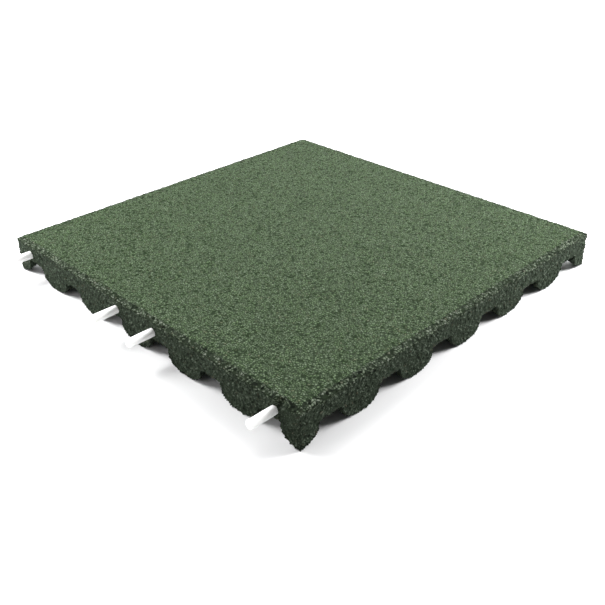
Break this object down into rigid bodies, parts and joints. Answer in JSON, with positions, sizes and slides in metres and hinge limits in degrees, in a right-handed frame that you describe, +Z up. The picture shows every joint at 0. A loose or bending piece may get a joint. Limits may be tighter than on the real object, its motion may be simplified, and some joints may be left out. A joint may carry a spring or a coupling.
{
  "type": "rubber safety tile",
  "caption": "Square safety tile of bonded rubber granules on round drainage feet, with a sloped top edge and plastic connecting pins standing out of one side.",
  "frame": {"origin": "middle of the tile in plan, at the underside of its feet, which is the ground; the pins don't move it", "axes": "+Z up through the walking surface; the connecting pins stand out of the -X side and the empty holes are in the +X side; Y runs along both"},
  "size_m": [0.53, 0.5, 0.045],
  "materials": {
    "rubber_granulate": "matte green bonded rubber granules, open and rough",
    "pin_plastic": "satin white moulded plastic"
  },
  "bodies": {
    "root": {"rubber_tile": "rubber_granulate", "connecting_pin_1": "pin_plastic", "connecting_pin_2": "pin_plastic", "connecting_pin_3": "pin_plastic", "connecting_pin_4": "pin_plastic"}
  },
  "joints": []
}
